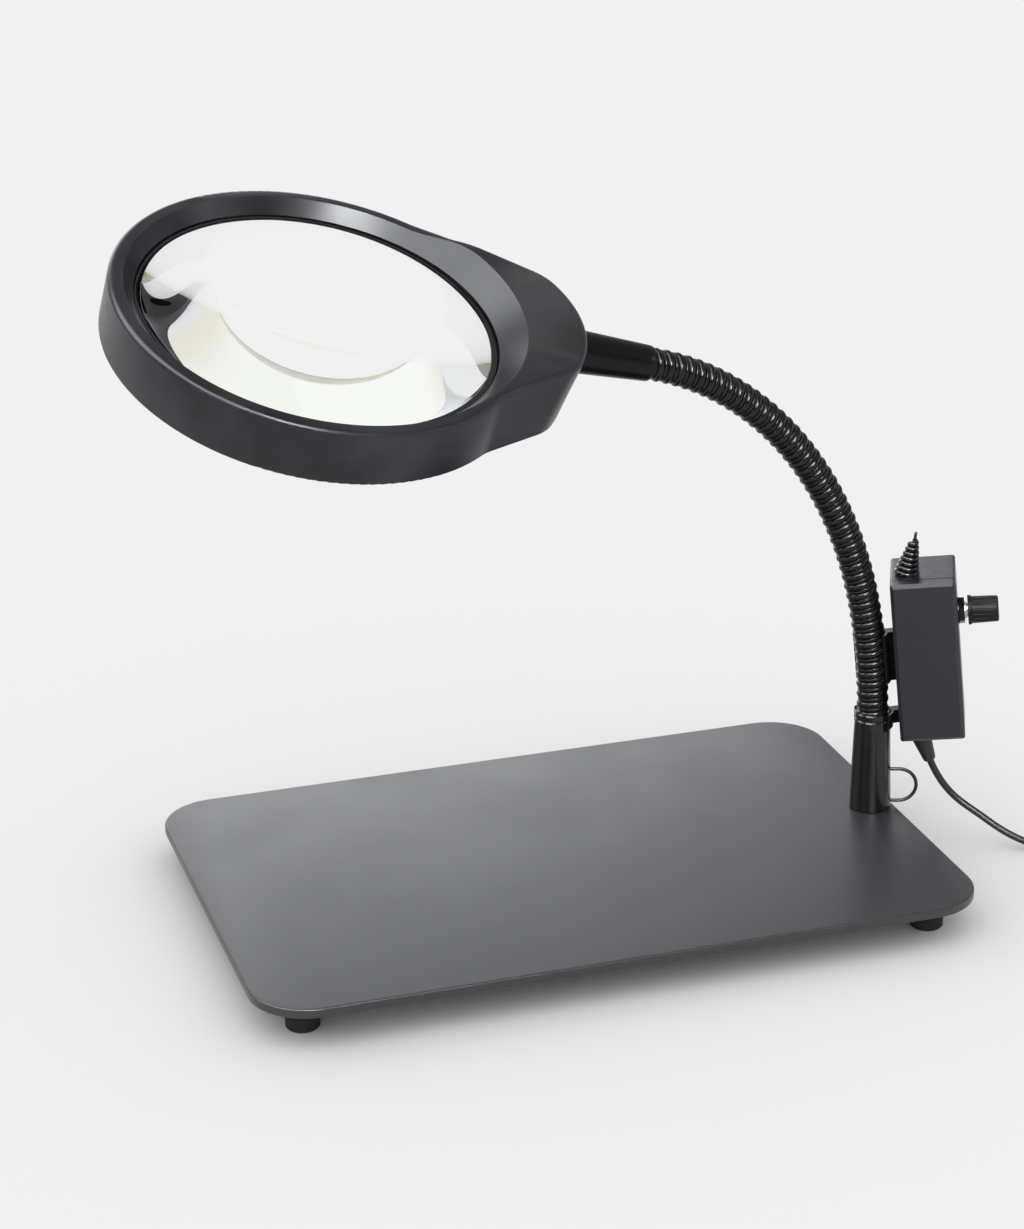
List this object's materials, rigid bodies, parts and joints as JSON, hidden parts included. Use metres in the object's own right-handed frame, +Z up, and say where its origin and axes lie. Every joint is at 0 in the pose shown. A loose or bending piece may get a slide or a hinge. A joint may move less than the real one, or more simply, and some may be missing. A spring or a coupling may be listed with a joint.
{
  "type": "magnifying lamp",
  "caption": "Bench magnifying lamp: round lens head with a light ring on a flexible gooseneck, flat steel base on rubber feet, and a clip-on dimmer box with a knob.",
  "frame": {"origin": "on the bench top, under the middle of the base plate, in the plane of the feet", "axes": "+X along the plate towards the post, +Y to the back, +Z up"},
  "size_m": [0.4467, 0.2, 0.2899],
  "materials": {
    "plate_paint": "fine textured powder coat",
    "foot_rubber": "matte",
    "bright_steel": "zinc plated",
    "post_enamel": "gloss",
    "neck_enamel": "gloss",
    "sleeve_plastic": "gloss",
    "housing_plastic": "satin, fine grain",
    "cover_plastic": "matte",
    "ring_plastic": "gloss",
    "lens_glass": "polished",
    "seal_rubber": "matte",
    "led_board_white": "satin solder mask",
    "led_chip": "phosphor gel",
    "lead_insulation": "satin",
    "box_plastic": "fine grain",
    "board_green": "solder mask",
    "component_plastic": "satin",
    "pot_metal": "satin",
    "blackened_metal": "gloss",
    "knob_plastic": "satin",
    "guard_plastic": "gloss",
    "cord_rubber": "satin",
    "clip_plastic": "satin",
    "plug_plastic": "satin",
    "plug_metal": "nickel"
  },
  "bodies": {
    "base": {"base_plate": "plate_paint", "rubber_feet": "foot_rubber", "foot_screws": "bright_steel", "post": "post_enamel", "post_bolt": "bright_steel", "post_washer": "bright_steel", "post_grub_screw": "bright_steel", "post_collar": "post_enamel", "lead_loop": "lead_insulation", "neck_root": "neck_enamel", "box_body": "box_plastic", "box_lid": "box_plastic", "box_screws": "bright_steel", "circuit_board": "board_green", "board_parts": "component_plastic", "dimmer_pot": "pot_metal", "dimmer_washer": "blackened_metal", "dimmer_nut": "blackened_metal", "lead_guard": "guard_plastic", "cord_relief": "cord_rubber", "power_cord": "cord_rubber", "plug_body": "plug_plastic", "plug_barrel": "plug_metal", "neck_clip": "clip_plastic", "post_clip": "clip_plastic"},
    "dimmer": {"dimmer_shaft": "pot_metal", "dimmer_knob": "knob_plastic"},
    "neck_01": {"neck_section_01": "neck_enamel"},
    "neck_02": {"neck_section_02": "neck_enamel"},
    "neck_03": {"neck_section_03": "neck_enamel"},
    "neck_04": {"neck_section_04": "neck_enamel"},
    "neck_05": {"neck_section_05": "neck_enamel"},
    "neck_06": {"neck_section_06": "neck_enamel"},
    "neck_07": {"neck_section_07": "neck_enamel"},
    "neck_08": {"neck_section_08": "neck_enamel"},
    "neck_09": {"neck_section_09": "neck_enamel"},
    "neck_10": {"neck_section_10": "neck_enamel"},
    "neck_11": {"neck_section_11": "neck_enamel"},
    "neck_end": {"neck_sleeve": "sleeve_plastic", "spigot_nut": "bright_steel", "spigot_washer": "bright_steel"},
    "head": {"upper_housing": "housing_plastic", "lower_cover": "cover_plastic", "head_screws": "bright_steel", "lens": "lens_glass", "lens_seal": "seal_rubber", "lens_ring": "ring_plastic", "led_board": "led_board_white", "led_chips": "led_chip", "head_leads": "lead_insulation"}
  },
  "joints": [
    {"name": "neck_bend_lower", "type": "hinge", "parent": "base", "child": "neck_01", "pos_m": [0.1339, 0, 0.11276], "axis": [0, -1, 0], "range_deg": [-8, 5]},
    {"name": "neck_lean_lower", "type": "hinge", "parent": "neck_01", "child": "neck_02", "pos_m": [0.13041, 0, 0.12611], "axis": [-0.9584, 0, -0.2854], "range_deg": [-6, 6]},
    {"name": "neck_bend_lower_2", "type": "hinge", "parent": "neck_02", "child": "neck_03", "pos_m": [0.12599, 0, 0.13918], "axis": [0, -1, 0], "range_deg": [-8, 5]},
    {"name": "neck_lean_lower_2", "type": "hinge", "parent": "neck_03", "child": "neck_04", "pos_m": [0.12058, 0, 0.15187], "axis": [-0.9034, 0, -0.4288], "range_deg": [-6, 6]},
    {"name": "neck_bend_lower_3", "type": "hinge", "parent": "neck_04", "child": "neck_05", "pos_m": [0.11413, 0, 0.16407], "axis": [0, -1, 0], "range_deg": [-8, 5]},
    {"name": "neck_lean_lower_3", "type": "hinge", "parent": "neck_05", "child": "neck_06", "pos_m": [0.10662, 0, 0.17564], "axis": [-0.8125, 0, -0.5829], "range_deg": [-6, 6]},
    {"name": "neck_bend_upper", "type": "hinge", "parent": "neck_06", "child": "neck_07", "pos_m": [0.09803, 0, 0.18643], "axis": [0, -1, 0], "range_deg": [-10, 7]},
    {"name": "neck_lean_upper", "type": "hinge", "parent": "neck_07", "child": "neck_08", "pos_m": [0.08839, 0, 0.19629], "axis": [-0.6772, 0, -0.7358], "range_deg": [-6, 6]},
    {"name": "neck_bend_upper_2", "type": "hinge", "parent": "neck_08", "child": "neck_09", "pos_m": [0.07773, 0, 0.20505], "axis": [0, -1, 0], "range_deg": [-10, 7]},
    {"name": "neck_lean_upper_2", "type": "hinge", "parent": "neck_09", "child": "neck_10", "pos_m": [0.06614, 0, 0.21253], "axis": [-0.4918, 0, -0.8707], "range_deg": [-6, 6]},
    {"name": "neck_bend_upper_3", "type": "hinge", "parent": "neck_10", "child": "neck_11", "pos_m": [0.05374, 0, 0.21856], "axis": [0, -1, 0], "range_deg": [-10, 7]},
    {"name": "neck_lean_upper_3", "type": "hinge", "parent": "neck_11", "child": "neck_end", "pos_m": [0.04066, 0, 0.22295], "axis": [-0.256, 0, -0.9667], "range_deg": [-6, 6]},
    {"name": "head_swivel", "type": "hinge", "parent": "neck_end", "child": "head", "pos_m": [0.00461, 0, 0.2325], "axis": [-0.9667, 0, 0.256], "range_deg": [-30, 60]},
    {"name": "dimmer_turn", "type": "hinge", "parent": "base", "child": "dimmer", "pos_m": [0.17422, -0.007, 0.10434], "axis": [0.902, -0.4206, 0.0976], "range_deg": [-135, 135]}
  ],
  "couplings": [
    {"joint": "neck_bend_lower_2", "follows": "neck_bend_lower", "ratio": 1},
    {"joint": "neck_lean_lower_2", "follows": "neck_lean_lower", "ratio": 1},
    {"joint": "neck_bend_lower_3", "follows": "neck_bend_lower", "ratio": 1},
    {"joint": "neck_lean_lower_3", "follows": "neck_lean_lower", "ratio": 1},
    {"joint": "neck_bend_upper_2", "follows": "neck_bend_upper", "ratio": 1},
    {"joint": "neck_lean_upper_2", "follows": "neck_lean_upper", "ratio": 1},
    {"joint": "neck_bend_upper_3", "follows": "neck_bend_upper", "ratio": 1},
    {"joint": "neck_lean_upper_3", "follows": "neck_lean_upper", "ratio": 1}
  ]
}
